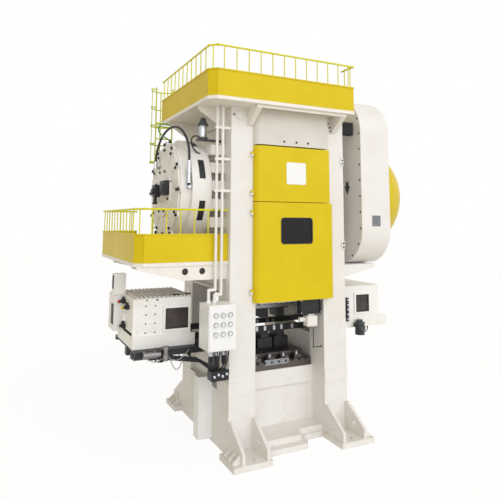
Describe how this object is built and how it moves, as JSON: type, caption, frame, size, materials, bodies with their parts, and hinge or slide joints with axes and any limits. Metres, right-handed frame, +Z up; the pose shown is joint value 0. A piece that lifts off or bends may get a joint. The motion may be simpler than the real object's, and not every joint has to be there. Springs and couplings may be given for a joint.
{
  "type": "forging press",
  "caption": "Tall mechanical forging press with an eccentric-driven slide, hinged front doors, a shaft brake, a guarded flywheel, railed platforms and a walking-beam transfer.",
  "frame": {"origin": "on the floor, under the middle of the crankshaft, at the underside of the bed", "axes": "+X to the right along the crankshaft, +Y to the rear, +Z up"},
  "size_m": [6.87, 3.9499, 7.604],
  "materials": {
    "frame_paint": "satin cream paint over cast and welded steel",
    "cream_paint": "satin cream paint over sheet steel",
    "yellow_paint": "gloss yellow paint over sheet steel",
    "machined_steel": "machined steel",
    "dark_steel": "scaled dark forging steel",
    "bronze": "machined bronze",
    "black_paint": "black paint over steel",
    "motor_paint": "dark grey paint over cast aluminium",
    "gauge_steel": "stainless steel gauge case",
    "hose_rubber": "black rubber air hose",
    "tinted_glass": "dark tinted pane"
  },
  "bodies": {
    "frame": {"bed": "frame_paint", "left_upright": "frame_paint", "right_upright": "frame_paint", "crown": "frame_paint", "crown_cover": "cream_paint", "rear_cover": "cream_paint", "hinge_lugs": "cream_paint", "bearing_bushes": "bronze", "gibs": "bronze", "lower_dies": "dark_steel", "bolster": "machined_steel", "gib_block": "black_paint", "sensor_box": "cream_paint", "brake_drum": "cream_paint", "brake_band": "cream_paint", "brake_cover": "cream_paint", "cover_bolts": "black_paint", "rotary_union": "black_paint", "brake_hose": "hose_rubber", "guard_shell": "cream_paint", "guard_dome": "yellow_paint", "guard_bracket": "cream_paint", "top_deck": "cream_paint", "top_rail": "yellow_paint", "side_deck": "cream_paint", "side_rail": "yellow_paint", "ladder": "yellow_paint", "ladder_cage": "yellow_paint", "control_box": "cream_paint", "gauges": "gauge_steel", "pipes": "cream_paint", "lube_pump": "motor_paint", "cables": "hose_rubber", "side_duct": "cream_paint", "infeed_housing": "cream_paint", "infeed_tray": "cream_paint", "outfeed_housing": "cream_paint", "feeder_glass": "tinted_glass", "infeed_cover": "black_paint", "infeed_cabinet": "cream_paint", "feed_valves": "black_paint", "feed_motors": "motor_paint", "infeed_arm": "black_paint", "outfeed_motor": "motor_paint"},
    "upper_door": {"door_upper": "yellow_paint"},
    "lower_door": {"door_lower": "yellow_paint", "door_glass": "tinted_glass"},
    "crankshaft": {"eccentric_shaft": "machined_steel"},
    "connecting_rod": {"conrod": "machined_steel", "wrist_pin": "machined_steel"},
    "flywheel": {"flywheel": "dark_steel"},
    "ram": {"slide": "frame_paint", "upper_holder": "machined_steel", "upper_dies": "dark_steel"},
    "carriage": {"feed_carriage": "machined_steel"},
    "yoke": {"lift_yoke": "machined_steel"},
    "front_gripper": {"front_beam": "black_paint", "front_fingers": "machined_steel"},
    "rear_gripper": {"rear_beam": "black_paint", "rear_fingers": "machined_steel"}
  },
  "joints": [
    {"name": "upper_door_hinge", "type": "hinge", "parent": "frame", "child": "upper_door", "pos_m": [-0.9, -1.35, 5.2], "axis": [0, 0, -1], "range_deg": [0, 110]},
    {"name": "lower_door_hinge", "type": "hinge", "parent": "frame", "child": "lower_door", "pos_m": [-0.9, -1.35, 3.7], "axis": [0, 0, -1], "range_deg": [0, 110]},
    {"name": "crank_turn", "type": "hinge", "parent": "frame", "child": "crankshaft", "pos_m": [0, 0, 4.88], "axis": [1, 0, 0], "continuous": true},
    {"name": "rod_turn", "type": "hinge", "parent": "crankshaft", "child": "connecting_rod", "pos_m": [0, 0, 5.03], "axis": [1, 0, 0], "continuous": true},
    {"name": "flywheel_turn", "type": "hinge", "parent": "frame", "child": "flywheel", "pos_m": [2.2, 0, 4.88], "axis": [1, 0, 0], "continuous": true},
    {"name": "slide_stroke", "type": "slide", "parent": "frame", "child": "ram", "axis": [0, 0, -1], "range_m": [0, 0.3]},
    {"name": "transfer_feed", "type": "slide", "parent": "frame", "child": "carriage", "axis": [1, 0, 0], "range_m": [0, 0.4]},
    {"name": "transfer_lift", "type": "slide", "parent": "carriage", "child": "yoke", "axis": [0, 0, 1], "range_m": [0, 0.07]},
    {"name": "front_clamp", "type": "slide", "parent": "yoke", "child": "front_gripper", "axis": [0, 1, 0], "range_m": [0, 0.08]},
    {"name": "rear_clamp", "type": "slide", "parent": "yoke", "child": "rear_gripper", "axis": [0, 1, 0], "range_m": [-0.08, 0]}
  ],
  "couplings": [
    {"joint": "rod_turn", "follows": "crank_turn", "ratio": -1},
    {"joint": "rear_clamp", "follows": "front_clamp", "ratio": -1}
  ]
}
